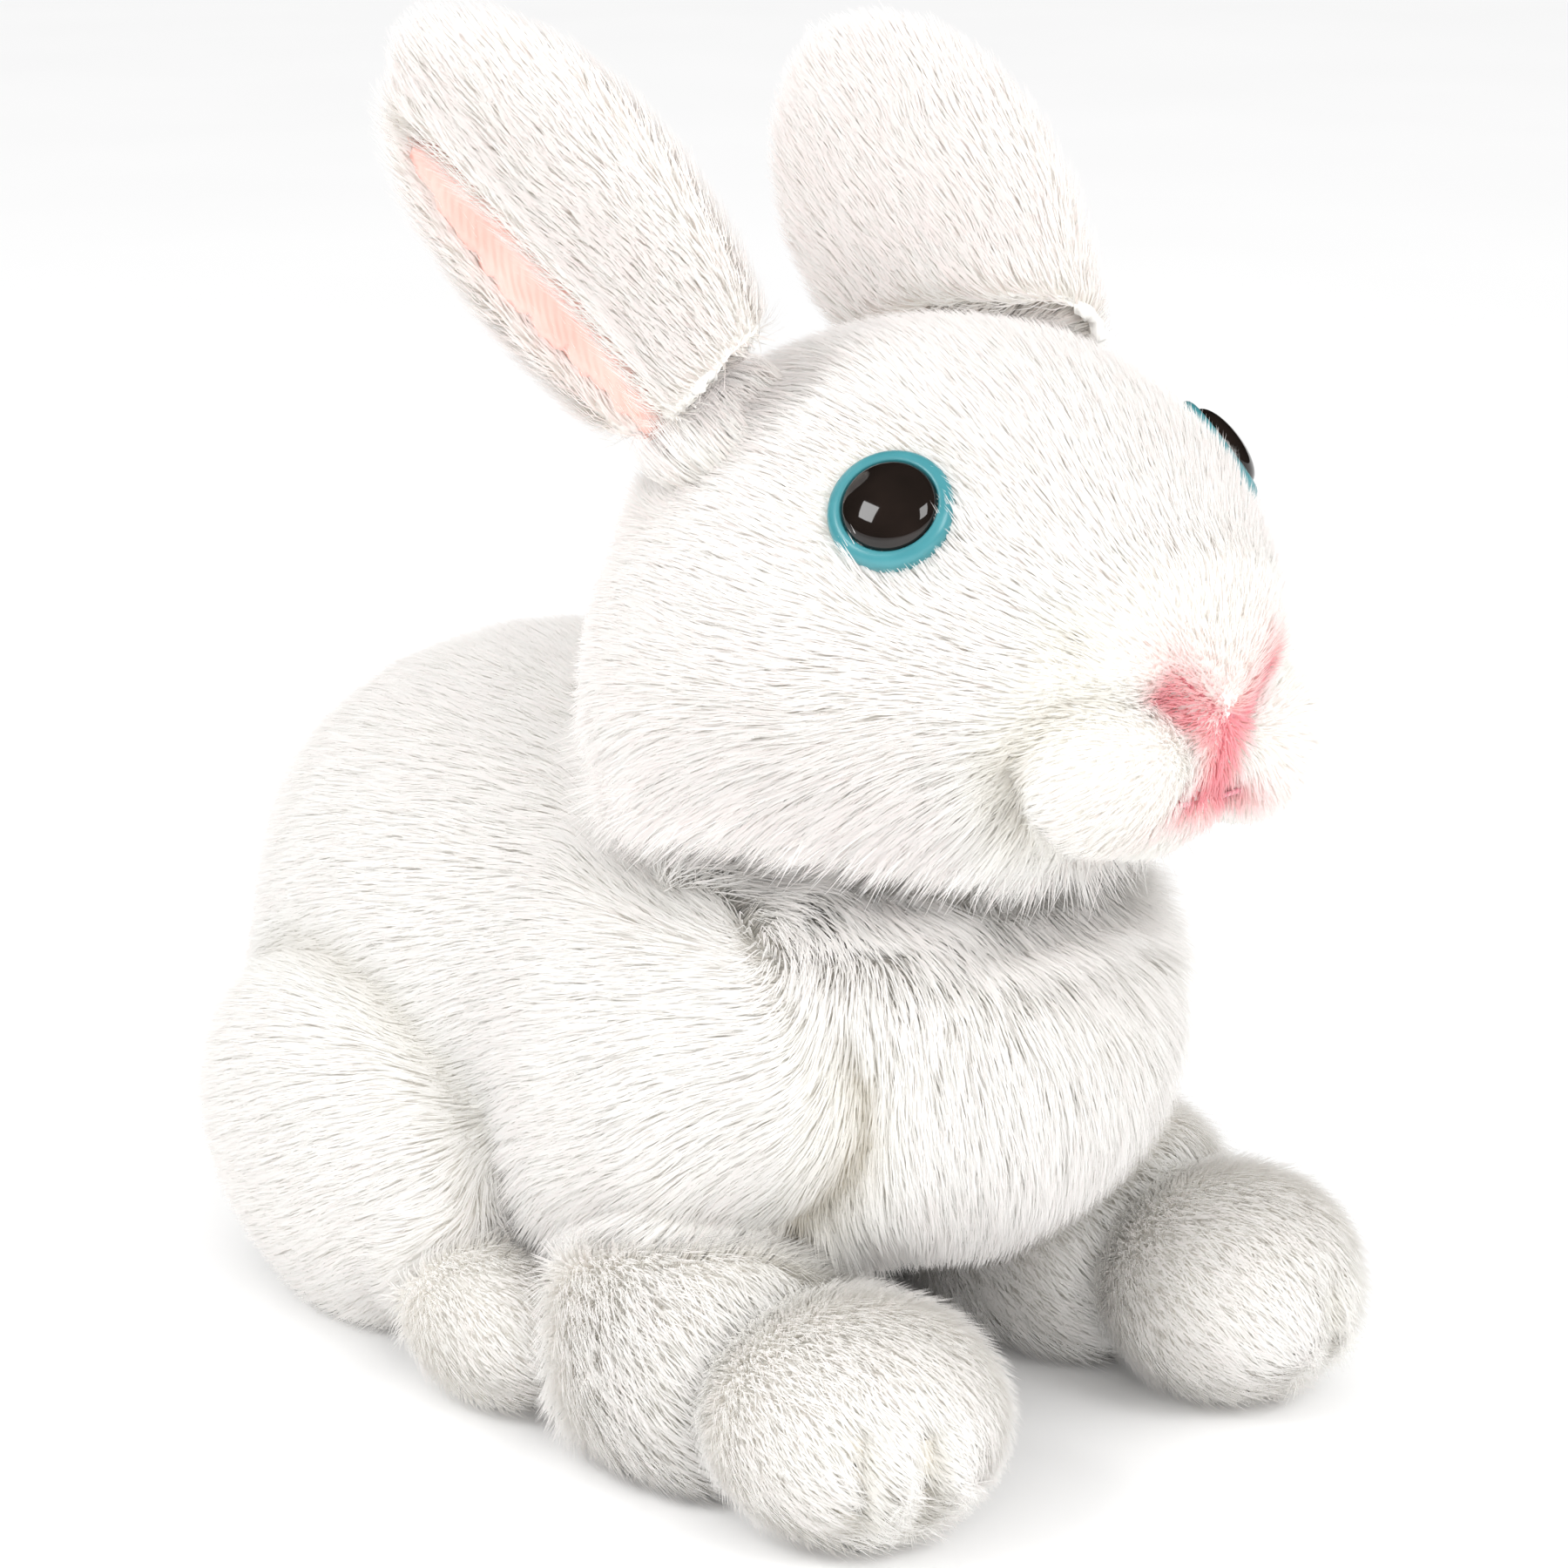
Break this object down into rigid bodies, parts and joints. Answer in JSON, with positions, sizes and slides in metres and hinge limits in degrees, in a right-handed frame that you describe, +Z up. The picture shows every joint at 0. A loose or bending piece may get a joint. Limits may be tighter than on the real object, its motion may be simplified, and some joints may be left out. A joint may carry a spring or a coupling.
{
  "type": "stuffed rabbit",
  "caption": "Soft plush rabbit lying on all fours, with upright ears, ring-edged safety eyes, a split lip in a tinted crease, stuffed paws and a weighted seat.",
  "frame": {"origin": "middle of the toy's footprint, on the surface it stands on", "axes": "+Z up, the face looks towards -Y, the rabbit's left side is +X"},
  "size_m": [0.12, 0.2124, 0.1936],
  "materials": {
    "plush": "long soft white pile",
    "chest_plush": "longer, looser white pile",
    "belly_plush": "short white pile, worn flat by standing on it",
    "ear_plush": "short salmon pink pile",
    "nose_thread": "matt rose thread",
    "toe_thread": "matt off-white thread",
    "iris": "satin teal",
    "pupil": "glossy black dome",
    "washer": "natural nylon",
    "stuffing": "loose polyester fibre",
    "bag_cloth": "plain woven cotton"
  },
  "bodies": {
    "torso": {"body_cover": "plush", "chest_panel": "chest_plush", "belly_panel": "belly_plush", "body_filling": "stuffing", "pellet_bag": "bag_cloth", "thigh_right_cover": "plush", "thigh_right_filling": "stuffing", "thigh_left_cover": "plush", "thigh_left_filling": "stuffing"},
    "neck": {"neck_filling": "stuffing"},
    "head": {"head_cover": "plush", "muzzle_cover": "plush", "head_filling": "stuffing", "mouth_thread": "nose_thread", "eye_right_iris": "iris", "eye_right_pupil": "pupil", "eye_right_washer": "washer", "eye_left_iris": "iris", "eye_left_pupil": "pupil", "eye_left_washer": "washer"},
    "ear_right": {"ear_right_back": "plush", "ear_right_lining": "ear_plush"},
    "ear_left": {"ear_left_back": "plush", "ear_left_lining": "ear_plush"},
    "front_leg_right": {"front_leg_right_cover": "plush", "front_leg_right_filling": "stuffing", "front_paw_right_cover": "plush", "front_paw_right_filling": "stuffing", "toe_thread_right_inner": "toe_thread", "toe_thread_right_outer": "toe_thread"},
    "front_leg_left": {"front_leg_left_cover": "plush", "front_leg_left_filling": "stuffing", "front_paw_left_cover": "plush", "front_paw_left_filling": "stuffing", "toe_thread_left_inner": "toe_thread", "toe_thread_left_outer": "toe_thread"},
    "hind_foot_right": {"hind_foot_right_cover": "plush", "hind_foot_right_filling": "stuffing"},
    "hind_foot_left": {"hind_foot_left_cover": "plush", "hind_foot_left_filling": "stuffing"},
    "tail": {"tail_cover": "plush", "tail_filling": "stuffing"}
  },
  "joints": [
    {"name": "neck_turn", "type": "hinge", "parent": "torso", "child": "neck", "pos_m": [0, -0.02685, 0.09095], "axis": [0, 0, 1], "range_deg": [-15, 15], "stiffness_Nm_per_rad": 0.6},
    {"name": "neck_nod", "type": "hinge", "parent": "neck", "child": "head", "pos_m": [0, -0.02685, 0.09095], "axis": [1, 0, 0], "range_deg": [-7, 7], "stiffness_Nm_per_rad": 0.6},
    {"name": "ear_right_fold", "type": "hinge", "parent": "head", "child": "ear_right", "pos_m": [-0.02814, -0.03604, 0.14122], "axis": [1, 0, 0], "range_deg": [-20, 20], "stiffness_Nm_per_rad": 0.03},
    {"name": "ear_left_fold", "type": "hinge", "parent": "head", "child": "ear_left", "pos_m": [0.02814, -0.03604, 0.14122], "axis": [1, 0, 0], "range_deg": [-20, 20], "stiffness_Nm_per_rad": 0.03},
    {"name": "front_leg_right_swing", "type": "hinge", "parent": "torso", "child": "front_leg_right", "pos_m": [-0.03, -0.03385, 0.0155], "axis": [0, 0, 1], "range_deg": [-6, 6], "stiffness_Nm_per_rad": 0.05},
    {"name": "front_leg_left_swing", "type": "hinge", "parent": "torso", "child": "front_leg_left", "pos_m": [0.03, -0.03385, 0.0155], "axis": [0, 0, 1], "range_deg": [-6, 6], "stiffness_Nm_per_rad": 0.05},
    {"name": "hind_foot_right_swing", "type": "hinge", "parent": "torso", "child": "hind_foot_right", "pos_m": [-0.047, -0.00185, 0.012], "axis": [0, 0, 1], "range_deg": [-6, 6], "stiffness_Nm_per_rad": 0.01},
    {"name": "hind_foot_left_swing", "type": "hinge", "parent": "torso", "child": "hind_foot_left", "pos_m": [0.047, -0.00185, 0.012], "axis": [0, 0, 1], "range_deg": [-6, 6], "stiffness_Nm_per_rad": 0.01},
    {"name": "tail_wag", "type": "hinge", "parent": "torso", "child": "tail", "pos_m": [0, 0.08515, 0.038], "axis": [0, 0, 1], "range_deg": [-15, 15], "stiffness_Nm_per_rad": 0.005}
  ]
}
